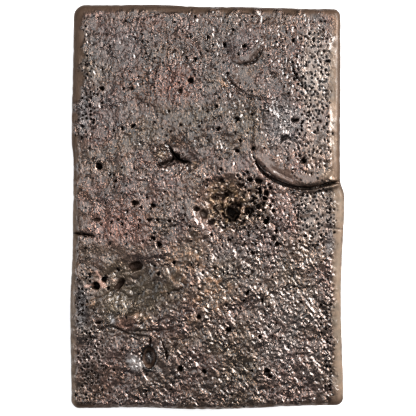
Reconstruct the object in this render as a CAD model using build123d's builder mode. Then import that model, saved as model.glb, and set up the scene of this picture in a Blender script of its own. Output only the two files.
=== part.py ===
from build123d import *
import math
import os

# A copper ingot, hand poured into an open mould with drafted walls and left to freeze. Its floor is flat,
# its rim is drawn round by surface tension, and its open face is lapped, sunk and full of gas holes.
# Millimetres. The origin lies on the floor under the middle of the ingot, with +Y along its length and
# +Z up through the open face. Spots on that face are given as (share of the width from the left side,
# share of the length from the foot).

# Driving dimensions
overall_width = 103.0
overall_length = 152.0
thickness = 22.0  # from the floor to the level that the metal was poured to
wall_draft = 8.0  # degrees, the taper that lets the casting drop out of the mould
rim_radius = 2.6
floor_edge_bevel = 1.2
edge_land = 0.3  # upright wall left between the draft and the rim, and between the draft and the bevel

# Corner radii of the poured rim, seen from above
head_left_radius = 4.6
head_right_radius = 3.2
foot_left_radius = 3.2
foot_right_radius = 3.0

# The crests and troughs of each side of the rim: (share of the way along the side, millimetres in from
# the overall size). The first and the last of each side also place its corners.
left_waves = ((0.03, 0.4), (0.25, 0.0), (0.41, 0.9), (0.61, 1.2), (0.67, 0.5), (0.96, 1.3))
right_waves = ((0.03, 0.4), (0.28, 1.3), (0.52, 0.0), (0.575, 1.6), (0.76, 1.5), (0.97, 1.4))
head_waves = ((0.05, 0.1), (0.29, 0.0), (0.49, 0.7), (0.96, 1.5))
foot_waves = ((0.03, 0.4), (0.24, 0.7), (0.48, 0.0), (0.97, 1.5))

# Shallow round hollows where the face sank as it froze: (share across, share along, radius, depth)
sinks = (
    (0.575, 0.495, 13.0, 1.5),
    (0.235, 0.310, 11.5, 1.2),
    (0.395, 0.622, 7.5, 0.8),
)

# Laps, where one flow of metal froze over another: tongues with rolled edges and sunken backs.
# An edge starts with a straight run and goes on as arcs, each tangent to the one before.
lap_root = 4.0  # how deep a lap reaches into the metal that it froze onto
lap_dip = 0.6  # how far it lies under the face at its low spot
main_lap_edge = (
    (0.962, 0.860), (0.964, 0.610), (0.925, 0.560), (0.820, 0.557), (0.705, 0.597), (0.662, 0.650),
)
main_lap_back = ((0.720, 0.850), (0.860, 0.950))
main_lap_high = (0.900, 0.560)
main_lap_low = (0.680, 0.800)
main_lap_rise = 0.9
main_lap_roll = 2.2
tongue_edge = ((0.722, 0.950), (0.700, 0.902), (0.655, 0.861), (0.590, 0.866))
tongue_back = ((0.580, 0.970), (0.680, 0.975))
tongue_high = (0.685, 0.878)
tongue_low = (0.600, 0.960)
tongue_rise = 0.8
tongue_roll = 1.6

# Creases: (greatest width, depth, the spots that its middle line runs through)
creases = (
    (1.3, 1.9, (
        (0.716, 0.940), (0.703, 0.898), (0.684, 0.871), (0.661, 0.855), (0.628, 0.852), (0.600, 0.862),
    )),
    (1.1, 1.5, ((0.552, 0.838), (0.574, 0.816), (0.606, 0.794), (0.636, 0.779), (0.672, 0.764))),
    (1.0, 1.2, ((0.795, 0.876), (0.806, 0.850), (0.822, 0.822), (0.848, 0.799), (0.885, 0.750))),
    (1.0, 1.2, ((0.105, 0.205), (0.150, 0.208), (0.180, 0.201), (0.215, 0.190), (0.290, 0.174))),
    (1.1, 1.4, ((0.318, 0.192), (0.336, 0.165), (0.350, 0.145), (0.355, 0.125), (0.348, 0.100))),
    (0.9, 1.1, ((0.762, 0.645), (0.768, 0.664), (0.782, 0.673), (0.806, 0.666))),
    (0.9, 1.1, ((0.895, 0.458), (0.930, 0.452), (0.960, 0.449), (0.992, 0.449))),
    (2.1, 2.8, ((0.340, 0.660), (0.374, 0.636), (0.392, 0.620), (0.416, 0.612), (0.448, 0.612))),
    (1.7, 2.4, ((0.402, 0.630), (0.380, 0.612), (0.350, 0.602), (0.312, 0.608))),
)
crease_floor = 0.3  # width of a crease's floor as a share of its mouth

# Cold shuts: creases that carry on over the rim and down the mould wall
shut_reach = 9.0  # how far down the wall the seam runs
shut_end = 0.2  # size of the seam at its lower end as a share of its size at the rim
shut_overrun = (0.55, 0.65)  # how far from the middle its line runs on, as shares of the width
main_fold_width = 1.8
main_fold_depth = 3.0
main_fold = (
    (0.645, 0.668), (0.664, 0.628), (0.697, 0.589), (0.752, 0.563),
    (0.818, 0.548), (0.888, 0.547), (0.945, 0.558),
)
left_shut_width = 1.1
left_shut_depth = 2.0
left_shut = ((0.115, 0.420), (0.090, 0.427), (0.062, 0.432), (0.040, 0.434))

# Shrinkage pits with broken walls: (share across, share along, depth, corners from the middle in mm)
shrinkage_pits = (
    (0.590, 0.485, 5.5, (
        (-2.4, 3.8), (0.4, 2.6), (3.6, -0.1), (1.9, -1.1),
        (0.8, -3.4), (-1.1, -2.3), (-3.0, -1.1), (-3.2, 1.5),
    )),
    (0.570, 0.531, 2.6, ((-1.8, 1.7), (0.2, 1.5), (2.2, -0.2), (0.9, -1.9), (-1.7, -1.3))),
    (0.528, 0.525, 2.2, ((-0.6, 1.5), (0.9, 0.8), (0.8, -1.7), (-0.8, -0.8))),
    (0.650, 0.489, 2.8, ((-0.6, 1.7), (0.6, 0.9), (0.9, -0.9), (-0.4, -1.9), (-0.9, 0.2))),
    (0.488, 0.484, 2.4, ((-2.3, 0.6), (-0.6, 2.5), (2.1, 0.2), (1.5, -2.1), (-1.1, -2.6))),
)
pit_floor = 0.5  # size of such a pit's floor as a share of its mouth

# Long hollows left by burst bubbles: (share across, share along, length, width, turn in degrees, depth)
long_hollows = (
    (0.240, 0.354, 5.2, 3.4, 15, 2.6),
    (0.181, 0.308, 5.6, 2.2, 55, 2.4),
)

# The eye, a burst blister with pointed ends
eye_across = 0.290
eye_along = 0.131
eye_half_width = 3.0
eye_half_length = 4.8
eye_depth = 3.4
eye_floor = 0.6

# Gas holes that stand by themselves: (share across, share along, radius)
gas_holes = (
    (0.403, 0.103, 1.05), (0.488, 0.096, 0.80), (0.716, 0.092, 1.00), (0.574, 0.198, 0.85),
    (0.469, 0.230, 0.90), (0.126, 0.322, 1.20), (0.097, 0.306, 1.50), (0.739, 0.424, 0.95),
    (0.235, 0.510, 1.00), (0.302, 0.504, 0.90), (0.324, 0.408, 1.00), (0.109, 0.599, 1.20),
    (0.697, 0.502, 1.00), (0.713, 0.464, 1.00), (0.847, 0.612, 0.95), (0.811, 0.713, 0.80),
    (0.603, 0.715, 0.85), (0.402, 0.785, 0.80),
)
hole_depth = 1.8  # depth of a gas hole as a multiple of its radius
mouth_room = 1.0  # how far every cutting shape stands above the level face


def place(across, along):
    """The X and Y of a spot given as shares of the width and the length."""
    return (across - 0.5) * overall_width, (along - 0.5) * overall_length


def cast_outline(inset, waviness):
    """Draws one level of the casting: sides of tangent arcs with a share of the rim's waves, and corners."""
    half_width = overall_width / 2 - inset
    half_length = overall_length / 2 - inset

    def corner(side_wave, end_wave, radius):
        """How far a corner's arc ends lie in from the side and from the end that it joins."""
        return side_wave[1] * waviness + radius, end_wave[1] * waviness + radius

    foot_left = corner(left_waves[0], foot_waves[0], foot_left_radius)
    foot_right = corner(right_waves[0], foot_waves[-1], foot_right_radius)
    head_left = corner(left_waves[-1], head_waves[0], head_left_radius)
    head_right = corner(right_waves[-1], head_waves[-1], head_right_radius)

    def wavy_side(waves, half_span, start, end, spot, along):
        """Draws a side through its crests and troughs, with two arcs or lines between each pair."""
        stations = [(start - half_span, waves[0][1] * waviness)]
        stations += [((share - 0.5) * 2 * half_span, wave * waviness) for share, wave in waves[1:-1]]
        stations.append((half_span - end, waves[-1][1] * waviness))
        for (here, wave), (there, next_wave) in zip(stations, stations[1:]):
            first = spot(here, wave)
            last = spot(there, next_wave)
            middle = ((first[0] + last[0]) / 2, (first[1] + last[1]) / 2)
            if wave == next_wave:
                Line(first, middle)
                Line(middle, last)
            else:
                TangentArc(first, middle, tangent=along)
                TangentArc(last, middle, tangent=(-along[0], -along[1]))

    def on_left(y, wave):
        return wave - half_width, y

    def on_right(y, wave):
        return half_width - wave, y

    def at_head(x, wave):
        return x, half_length - wave

    def at_foot(x, wave):
        return x, wave - half_length

    wavy_side(left_waves, half_length, foot_left[1], head_left[1], on_left, (0, 1))
    wavy_side(right_waves, half_length, foot_right[1], head_right[1], on_right, (0, 1))
    wavy_side(head_waves, half_width, head_left[0], head_right[0], at_head, (1, 0))
    wavy_side(foot_waves, half_width, foot_left[0], foot_right[0], at_foot, (1, 0))

    corners = (
        (half_width - head_right[0], half_length - head_right[1], head_right_radius, 0),
        (head_left[0] - half_width, half_length - head_left[1], head_left_radius, 90),
        (foot_left[0] - half_width, foot_left[1] - half_length, foot_left_radius, 180),
        (half_width - foot_right[0], foot_right[1] - half_length, foot_right_radius, 270),
    )
    for x, y, radius, start_angle in corners:
        CenterArc((x, y), radius, start_angle, 90)


def cast_section(height, inset, waviness):
    """One level of the casting as a face."""
    with BuildSketch(Plane.XY.offset(height)) as section:
        with BuildLine():
            cast_outline(inset, waviness)
        make_face()
    return section


def sink(across, along, radius, depth):
    """The metal lost in a sink: the cap of a ball, with an upright collar above the level face."""
    x, y = place(across, along)
    with BuildPart() as cap:
        with BuildSketch(Plane(origin=(x, y, thickness), x_dir=(1, 0, 0), z_dir=(0, -1, 0))):
            with BuildLine():
                TangentArc((0, -depth), (radius, 0), tangent=(1, 0))
                Polyline((radius, 0), (radius, mouth_room), (0, mouth_room), (0, -depth))
            make_face()
        revolve(axis=Axis((x, y, 0), (0, 0, 1)))
    return cap


def lap(edge, back, high, low, rise, roll):
    """A tongue of metal with a rolled edge, whose top slopes from its high spot to its low one."""
    edge_spots = [place(*spot) for spot in edge]
    back_spots = [place(*spot) for spot in back]
    high_x, high_y = place(*high)
    low_x, low_y = place(*low)
    run = math.hypot(high_x - low_x, high_y - low_y)
    slope_x = (rise + lap_dip) * (high_x - low_x) / run**2
    slope_y = (rise + lap_dip) * (high_y - low_y) / run**2
    level = thickness + rise - slope_x * high_x - slope_y * high_y
    top = Plane(origin=(0, 0, level), x_dir=(1, 0, slope_x), z_dir=(-slope_x, -slope_y, 1))
    with BuildPart() as tongue:
        with BuildSketch(top):
            with BuildLine():
                reach = Line(edge_spots[0], edge_spots[1])
                for spot in edge_spots[2:]:
                    reach = TangentArc(reach @ 1, spot, tangent=reach % 1)
                Polyline(reach @ 1, *back_spots, edge_spots[0])
            make_face()
        extrude(amount=-lap_root - rise)
        rolled = tongue.faces().sort_by(Axis.Z)[-1].edges().filter_by(GeomType.CIRCLE)
        fillet(rolled, roll)
    return tongue


def crease(width, depth, spots):
    """A crease, pointed at both ends and widest in the middle, that narrows to its floor."""
    line = [place(*spot) for spot in spots]
    with BuildPart() as cut:
        for height, share in ((thickness + mouth_room, 1), (thickness - depth, crease_floor)):
            left = []
            right = []
            for i in range(1, len(line) - 1):
                (x, y), (back_x, back_y), (on_x, on_y) = line[i], line[i - 1], line[i + 1]
                run = math.hypot(on_x - back_x, on_y - back_y)
                half = share * width / 2 * math.sin(math.pi * i / (len(line) - 1))
                left.append((x - half * (on_y - back_y) / run, y + half * (on_x - back_x) / run))
                right.append((x + half * (on_y - back_y) / run, y - half * (on_x - back_x) / run))
            with BuildSketch(Plane.XY.offset(height)):
                with BuildLine():
                    Spline([line[0], *left, line[-1]])
                    Spline([line[-1], *reversed(right), line[0]])
                make_face()
        loft(ruled=True)
    return cut


def cold_shut(width, depth, spots, side):
    """A crease that runs on over the rim on one side (-1 left, 1 right), and its seam down the wall."""
    last_along = spots[-1][1]
    beyond = [(0.5 + side * out, last_along) for out in shut_overrun]
    over = crease(width, depth, [*spots, *beyond])
    rim_x, y = place(0.5 + side * 0.5, last_along)
    with BuildPart() as seam:
        for height, share in ((thickness, 1), (thickness - shut_reach, shut_end)):
            x = rim_x - side * (thickness - height) * math.tan(math.radians(wall_draft))
            half = width / 2 * share
            root = (x - side * width * share, y)
            outside = x + side * width
            with BuildSketch(Plane.XY.offset(height)):
                with BuildLine():
                    Polyline(root, (outside, y - half), (outside, y + half), close=True)
                make_face()
        loft(ruled=True)
    return [over, seam]


def shrinkage_pit(across, along, depth, corners):
    """A pit with broken walls, narrowing to its floor."""
    x, y = place(across, along)
    with BuildPart() as pit:
        for height, share in ((thickness + mouth_room, 1), (thickness - depth, pit_floor)):
            with BuildSketch(Plane.XY.offset(height)):
                with BuildLine():
                    Polyline([(x + dx * share, y + dy * share) for dx, dy in corners], close=True)
                make_face()
        loft(ruled=True)
    return pit


def long_hollow(across, along, length, width, turn, depth):
    """A hollow with straight walls and round ends."""
    with BuildPart() as hollow:
        with BuildSketch(Plane((*place(across, along), thickness - depth)).rotated((0, 0, turn))):
            SlotOverall(length, width)
        extrude(amount=depth + mouth_room)
    return hollow


# The casting: an upright slab at the floor edge, the drafted wall, and an upright slab at the rim
floor_slab = floor_edge_bevel + edge_land
rim_slab = rim_radius + edge_land
wall_lean = (thickness - floor_slab - rim_slab) * math.tan(math.radians(wall_draft))
with BuildPart() as ingot:
    extrude(cast_section(0, wall_lean, 0).sketch, amount=floor_slab)
    floor_section = cast_section(floor_slab, wall_lean, 0)
    rim_section = cast_section(thickness - rim_slab, 0, 1)
    loft([floor_section.sketch, rim_section.sketch], ruled=True)
    extrude(cast_section(thickness - rim_slab, 0, 1).sketch, amount=rim_slab)
    fillet(ingot.faces().sort_by(Axis.Z)[-1].edges(), rim_radius)
    chamfer(ingot.faces().sort_by(Axis.Z)[0].edges(), floor_edge_bevel)

# The face sinks, then the grooves under the laps are cut, then the laps are laid over them
under_laps = cold_shut(main_fold_width, main_fold_depth, main_fold, 1)
under_laps += [crease(*values) for values in creases[:2]]
laps = [
    lap(main_lap_edge, main_lap_back, main_lap_high, main_lap_low, main_lap_rise, main_lap_roll),
    lap(tongue_edge, tongue_back, tongue_high, tongue_low, tongue_rise, tongue_roll),
]
with ingot:
    add([sink(*values).part for values in sinks], mode=Mode.SUBTRACT)
    add([groove.part for groove in under_laps], mode=Mode.SUBTRACT)
    add([tongue.part for tongue in laps])

# The other creases, the pits and the hollows
cuts = [crease(*values) for values in creases[2:]]
cuts += cold_shut(left_shut_width, left_shut_depth, left_shut, -1)
cuts += [shrinkage_pit(*values) for values in shrinkage_pits]
cuts += [long_hollow(*values) for values in long_hollows]

# The eye: a lens-shaped mouth drawn in towards its floor
eye_x, eye_y = place(eye_across, eye_along)
with BuildPart() as eye:
    for height, share in ((thickness + mouth_room, 1), (thickness - eye_depth, eye_floor)):
        with BuildSketch(Plane(origin=(eye_x, eye_y, height))):
            with BuildLine():
                head_point = (0, eye_half_length * share)
                foot_point = (0, -eye_half_length * share)
                ThreePointArc(head_point, (eye_half_width * share, 0), foot_point)
                ThreePointArc(foot_point, (-eye_half_width * share, 0), head_point)
            make_face()
    loft(ruled=True)
cuts.append(eye)


def skin_height(x, y):
    """Z of the cast skin at that place, on a lap where one lies there."""
    return max(point.Z for point, _ in ingot.part.find_intersection_points(Axis((x, y, 0), (0, 0, 1))))


# Gas holes
for across, along, radius in gas_holes:
    x, y = place(across, along)
    with BuildPart() as hole:
        with Locations((x, y, skin_height(x, y) + mouth_room)):
            Cylinder(radius, hole_depth * radius + mouth_room, align=(Align.CENTER, Align.CENTER, Align.MAX))
    cuts.append(hole)

with ingot:
    add([cut.part for cut in cuts], mode=Mode.SUBTRACT)

os.makedirs("parts", exist_ok=True)
ingot.part.label = "ingot"
export_step(ingot.part, "parts/ingot.step")
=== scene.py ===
# %% [markdown]
# # A hand-poured copper ingot
#
# The real object is one casting: copper poured into an open steel mould and left to freeze in the air.
# Where it touched the mould it is plain and smooth. The open face is another matter. Gas bubbled out of
# it while it set, one flow froze over the next, and the skin wrinkled as the metal shrank. This notebook
# takes the plain CAD casting, presses that frozen skin into its open face and gives it the dull brown
# oxide that hot copper takes on.

import math

import bpy
import numpy as np
from mathutils.bvhtree import BVHTree
from mathutils.kdtree import KDTree
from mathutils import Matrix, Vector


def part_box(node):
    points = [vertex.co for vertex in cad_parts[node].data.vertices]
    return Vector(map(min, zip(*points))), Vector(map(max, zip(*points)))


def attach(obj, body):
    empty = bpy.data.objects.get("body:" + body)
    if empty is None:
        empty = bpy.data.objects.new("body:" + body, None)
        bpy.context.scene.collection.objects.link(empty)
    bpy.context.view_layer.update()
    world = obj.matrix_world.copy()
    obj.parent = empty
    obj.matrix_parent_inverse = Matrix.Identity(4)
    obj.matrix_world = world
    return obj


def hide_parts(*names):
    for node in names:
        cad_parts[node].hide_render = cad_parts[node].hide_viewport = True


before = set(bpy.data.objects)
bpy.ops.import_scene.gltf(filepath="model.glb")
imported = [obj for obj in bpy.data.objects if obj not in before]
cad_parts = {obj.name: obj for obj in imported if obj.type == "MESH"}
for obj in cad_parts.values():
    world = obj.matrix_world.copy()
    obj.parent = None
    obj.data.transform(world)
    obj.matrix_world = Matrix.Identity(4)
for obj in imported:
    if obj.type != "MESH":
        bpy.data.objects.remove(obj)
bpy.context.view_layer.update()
mm = 0.001
low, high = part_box("ingot")
width = high.x - low.x
length = high.y - low.y
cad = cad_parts["ingot"]
sides = (width, length, high.z - low.z)
print("casting of", " by ".join(str(round(side / mm, 1)) for side in sides), "mm")

# %% [markdown]
# ## A sheet of heights over the open face
#
# The frozen skin is far too busy to model by hand, stroke by stroke. It is easier to think of it as a
# relief map: a grid of heights above or below the CAD face, one every seventh of a millimetre. Each
# feature is added to that map by a formula, and at the end the map is pressed into the mesh.

# %% The grid
cell = 0.15 * mm
columns = int(width / cell) + 2
rows = int(length / cell) + 2
grid_x = low.x + np.arange(columns) * cell
grid_y = low.y + np.arange(rows) * cell
x, y = (axis / mm for axis in np.meshgrid(grid_x, grid_y))  # both in millimetres
across = (x * mm - low.x) / width
along = (y * mm - low.y) / length


def fade(value, start, end):
    """0 before start, 1 after end, and a smooth change between them. It falls where end is below start."""
    t = np.clip((value - start) / (end - start), 0, 1)
    return t * t * (3 - 2 * t)


def mix(a, b, share):
    return a + (b - a) * share


def between(values, r, c):
    """The values at those rows and columns, mixed from the four nearest where they lie between."""
    r = np.clip(r, 0, values.shape[0] - 1.001)
    c = np.clip(c, 0, values.shape[1] - 1.001)
    r0, c0 = r.astype(int), c.astype(int)
    nearer_foot = mix(values[r0, c0], values[r0, c0 + 1], c - c0)
    nearer_head = mix(values[r0 + 1, c0], values[r0 + 1, c0 + 1], c - c0)
    return mix(nearer_foot, nearer_head, r - r0)


print("grid", columns, "by", rows)

# %% [markdown]
# Places are given as thousandths of the width from the left and of the length from the foot, so that they
# stay put if the casting is made a little larger. Many features are soft ovals round such a place, and
# holes, calm patches and colours all use these helpers.

# %% Places and ovals
def in_mm(from_left, from_foot):
    """A place in millimetres, for thousandths of the width and of the length."""
    return (low.x + from_left / 1000 * width) / mm, (low.y + from_foot / 1000 * length) / mm


def turned(u, v, angle):
    """The same offsets, seen along axes that are turned by an angle."""
    return u * math.cos(angle) + v * math.sin(angle), v * math.cos(angle) - u * math.sin(angle)


def oval(spot, reach_x, reach_y, turn=0):
    """How far out each grid point is. 1 is the outline of a turned oval, with half sizes in millimetres."""
    middle_x, middle_y = in_mm(*spot)
    u, v = turned(x - middle_x, y - middle_y, math.radians(turn))
    return np.hypot(u / reach_x, v / reach_y)


def patch(spot, reach_x, reach_y, turn=0, soft=0.5):
    """1 inside such an oval, falling to 0 at its outline."""
    return fade(oval(spot, reach_x, reach_y, turn), 1, 1 - soft)


# %% [markdown]
# Nothing on a casting repeats, so the rest comes from noise. It mixes slopes that point in random
# directions at the corners of a lattice. The seed is fixed, so it gives the same field each time. The blur
# does the opposite, and removes all that is finer than a given size.

# %% Noise and blur
def noise(u, v, seed):
    """Smooth noise from about -1 to 1, with one bump to a unit."""
    turns = np.random.default_rng(seed).uniform(0, 2 * np.pi, (256, 256))
    slope_u, slope_v = np.cos(turns), np.sin(turns)
    u0, v0 = np.floor(u).astype(int), np.floor(v).astype(int)
    fu, fv = u - u0, v - v0

    def corner(i, j):
        a, b = (u0 + i) % 256, (v0 + j) % 256
        return slope_u[a, b] * (fu - i) + slope_v[a, b] * (fv - j)

    su = fu**3 * (fu * (fu * 6 - 15) + 10)
    sv = fv**3 * (fv * (fv * 6 - 15) + 10)
    return 1.5 * mix(mix(corner(0, 0), corner(1, 0), su), mix(corner(0, 1), corner(1, 1), su), sv)


def lumps(size, seed):
    """Noise over the face whose bumps are that many millimetres wide."""
    return noise(x / size, y / size, seed)


def blur(field, radius):
    """The field with everything finer than that radius, in millimetres, smoothed away."""
    fy = np.fft.fftfreq(rows, cell / mm)[:, None]
    fx = np.fft.rfftfreq(columns, cell / mm)[None, :]
    keep = np.exp(-2 * (math.pi * radius) ** 2 * (fx**2 + fy**2))
    return np.fft.irfft2(np.fft.rfft2(field) * keep, s=field.shape)


print("noise for", columns * rows, "grid points")

# %% [markdown]
# ## The smooth rim
#
# Next to the cold mould the copper froze first, as a smooth rounded band that surface tension drew down
# at the edge. It is broad at the upper left, and hardly there at the foot. The distance from each grid
# point to the real outline of the casting tells where the band is, and its inner edge wanders a little.

# %% Rim band
edge_tree = KDTree(len(cad.data.vertices))
outline_reach = 2.4 * mm  # the outline lies no farther than this inside the box
outline_top, outline_foot = high.z - 2.5 * mm, high.z - 7 * mm  # and is read between these heights
for vertex in cad.data.vertices:
    spot = vertex.co
    to_box = min(spot.x - low.x, high.x - spot.x, spot.y - low.y, high.y - spot.y)
    if to_box < outline_reach and outline_foot < spot.z < outline_top:
        edge_tree.insert((spot.x, spot.y, 0), vertex.index)
edge_tree.balance()
step = 7  # every seventh grid point is measured, and the rest is filled in between
coarse = np.array([
    [edge_tree.find((gx, gy, 0))[2] / mm for gx in grid_x[::step]] for gy in grid_y[::step]
])


def from_coarse(values):
    """A coarse grid of values, drawn out smoothly over the fine one."""
    return between(values, (np.arange(rows) / step)[:, None], (np.arange(columns) / step)[None, :])


from_edge = from_coarse(coarse)
side_widths = (
    (across * width, mix(2.3, 4.4, fade(along, 0.74, 0.80))),  # left: millimetres of band, foot to head
    ((1 - across) * width, 3.4),
    ((1 - along) * length, 3.0),
    (along * length, 1.6),
)
near = [np.exp(-(distance / mm) / 3.0) for distance, _ in side_widths]
band = sum(weight * wide for weight, (_, wide) in zip(near, side_widths)) / sum(near)
wander = 0.8 * lumps(4.5, 11) + 0.35 * lumps(1.6, 12)
soft = mix(0.6, 1.5, fade(across, 0.6, 0.95))
rim = fade(from_edge, band + wander + soft, band + wander - soft)
print("rim covers", round(float(rim.mean()), 3), "of the grid")

# %% [markdown]
# ## Wrinkles
#
# As the skin froze, it shrank into worm-like wrinkles a millimetre or two apart. They lean one way
# at the upper left and the other way over the lower half, where they are coarser and sharper. Two sets
# of stretched noise, each bent by a slower noise, are mixed by place. Folding the noise at zero turns
# its smooth hills into ridges.

# %% Wrinkles
def ridges(lean, across_mm, along_mm, seed):
    """Worm-like ridges that run at that angle from straight up the face, in degrees, leaning right."""
    angle = math.radians(lean)
    bend_x = 0.9 * across_mm * lumps(2.5 * across_mm, seed + 1)
    bend_y = 0.9 * across_mm * lumps(2.5 * across_mm, seed + 2)
    off = (x + bend_x) * math.cos(angle) - (y + bend_y) * math.sin(angle)
    run = (x + bend_x) * math.sin(angle) + (y + bend_y) * math.cos(angle)
    return 1 - 2 * np.abs(noise(off / across_mm, run / along_mm, seed))


lower_right = fade(0.8 * (1 - along) + 0.35 * across, 0.42, 0.68)
upper_skin = 0.40 * ridges(14, 1.3, 2.2, 21) - 0.34 * ridges(6, 0.85, 1.4, 24)
upper_skin += 0.28 * ridges(0, 0.55, 0.9, 27)
lower_skin = 0.50 * ridges(-32, 1.6, 2.8, 31) - 0.40 * ridges(-38, 0.9, 1.5, 34)
lower_skin += 0.28 * ridges(-20, 0.55, 0.7, 37)
skin = mix(upper_skin, lower_skin, lower_right)
print("wrinkles from", round(float(skin.min()), 2), "to", round(float(skin.max()), 2))

# %% [markdown]
# ## Where the skin is calm and where it is wild
#
# The wrinkles have a different height in each part of the face: they fade out on the rim, on a smooth
# facet under the upper tongue, on a plate at the lower left and in the glassy sunken patch above it. They
# are highest at the lower right and, in a smaller patch, above the large lap.

# %% Strength of the wrinkles
strength = mix(0.42, 0.52, fade(0.9 * (1 - along) + 0.6 * across, 0.45, 1.05))
streak_lean = math.radians(-32)
off_streak = (x * math.cos(streak_lean) - y * math.sin(streak_lean)) / 1.9
down_streak = (x * math.sin(streak_lean) + y * math.cos(streak_lean)) / 5.5
streaks = noise(off_streak, down_streak, 43)
streaks *= 0.75 + 0.5 * lumps(4, 44)
streaked = lower_right * fade(along, 0.52, 0.38)
clusters = mix(0.50 * noise(x / 2.6, y / 3.2, 42), 0.80 * streaks, streaked)
strength *= 1 + 0.30 * lumps(9, 41) + clusters
calm_patches = (  # (spot, half width, half height, turn, how much calmer)
    ((641, 819), 4.2, 6.5, -20, 0.75),
    ((207, 214), 6.5, 4.4, 0, 0.8),
    ((247, 300), 17.0, 8.5, -8, 0.75),
    ((371, 307), 6.0, 5.5, 0, 0.6),
    ((50, 567), 4.5, 30.0, 0, 0.35),
    ((72, 863), 6.0, 20.0, 0, 0.3),
    ((386, 740), 9.0, 9.0, 0, 0.3),
    ((896, 789), 8.0, 34.0, 0, 0.55),
    ((903, 473), 8.0, 16.0, 0, 0.5),
    ((109, 443), 11.0, 17.0, 0, 0.3),
    ((120, 102), 13.0, 17.0, 0, 0.4),
)
for spot, reach_x, reach_y, turn, how_much in calm_patches:
    strength *= 1 - how_much * patch(spot, reach_x, reach_y, turn, 0.6)
strength *= 1 + 0.8 * patch((747, 715), 11, 15, 0, 0.8)
strength *= 1 - 0.97 * rim
print("wrinkles at", round(float(strength.mean()), 2), "of full height on average")

# %% [markdown]
# Now the first version of the relief can be put together: the wrinkles at their strength, slow swells under
# them, and on the rim only faint ones. The very edge of the rim is drawn down a little.

# %% First relief
relief = strength * skin
relief += (1 - rim) * (0.34 * lumps(9, 51) + 0.26 * noise(x / 4.2, y / 5.0, 52))
relief += (1 - rim) * streaked * 0.14 * streaks
relief += rim * 0.07 * lumps(5, 53)
relief -= 0.10 * rim * fade(from_edge, 0.5, band + wander)
print("relief from", round(float(relief.min()), 2), "to", round(float(relief.max()), 2), "mm")

# %% [markdown]
# ## Flows, folds and facets
#
# Some shapes are too large to be wrinkles and too soft for the CAD part: the rolled bands along the two
# laps, the crumpled fans beside the star-shaped pit, the glassy facets of the sunken patch and the plate
# that slid over it. Each is a soft band along a line or a bump in an oval.

# %% Bands along lines
def line_distance(spots):
    """Distance in millimetres of each grid point from a line, and the share of the way along it."""
    line = [in_mm(*spot) for spot in spots]
    nearest = np.full_like(x, 1e9)
    share = np.zeros_like(x)
    for i, ((ax, ay), (bx, by)) in enumerate(zip(line, line[1:])):
        span = math.hypot(bx - ax, by - ay)
        t = np.clip(((x - ax) * (bx - ax) + (y - ay) * (by - ay)) / span**2, 0, 1)
        d = np.hypot(x - ax - t * (bx - ax), y - ay - t * (by - ay))
        closer = d < nearest
        nearest = np.where(closer, d, nearest)
        share = np.where(closer, (i + t) / (len(line) - 1), share)
    return nearest, share


def roll(spots, half_width, height):
    """A rounded band along a line, thinning to both ends. The wrinkles under it are calmed."""
    distance, share = line_distance(spots)
    thick = np.sin(np.pi * np.clip(share, 0.02, 0.98)) ** 0.5
    calmed = fade(distance, half_width, 0.4 * half_width) * thick
    return fade(distance, half_width, 0) * thick * height, calmed


def crack(spots, half_width, depth):
    """A sharp groove along a line, thinning to both ends, and how far inside it each point is."""
    distance, share = line_distance(spots)
    thick = np.sin(np.pi * np.clip(share, 0.02, 0.98)) ** 0.6
    half = half_width * thick * (1 + 0.5 * lumps(1.1, 58)) + 0.05
    inside = np.clip(1 - distance / half, 0, 1)
    return -depth * inside, inside


# %% [markdown]
# Two laps cross the face, the large one at the right and the tongue near the top. Along the lip of each
# runs a band that was rolled smooth, and a filled strip under the large one closes its fold to the width
# that it has on the real piece.

# %% Rolls along the laps
calm = np.zeros_like(x)  # 1 where the skin was rolled smooth
fold_band = (
    (677, 646), (714, 614), (761, 589), (816, 574),
    (874, 569), (929, 574), (958, 586), (969, 616),
)
fold_lip = ((676, 627), (710, 602), (754, 578), (801, 563), (852, 556))
under_fold = ((765, 559), (809, 549), (852, 544), (889, 543), (933, 547), (984, 557))
tongue_band = ((696, 907), (674, 880), (645, 865), (612, 863), (583, 870))
tongue_lip = ((696, 885), (676, 865), (646, 856), (612, 856), (586, 863))
fold_fill, _ = roll(under_fold, 1.2, 1.5)
relief += fold_fill
for spots, half_width, height in (
    (fold_band, 2.0, 0.0), (fold_lip, 1.2, 0.42), (tongue_band, 1.3, 0.0), (tongue_lip, 1.0, 0.55),
):
    height_map, calmed = roll(spots, half_width, height)
    relief = relief * (1 - 0.7 * calmed) + height_map
    calm = np.maximum(calm, calmed)
print("rolled smooth:", round(float(calm.mean()), 3), "of the grid")
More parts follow.
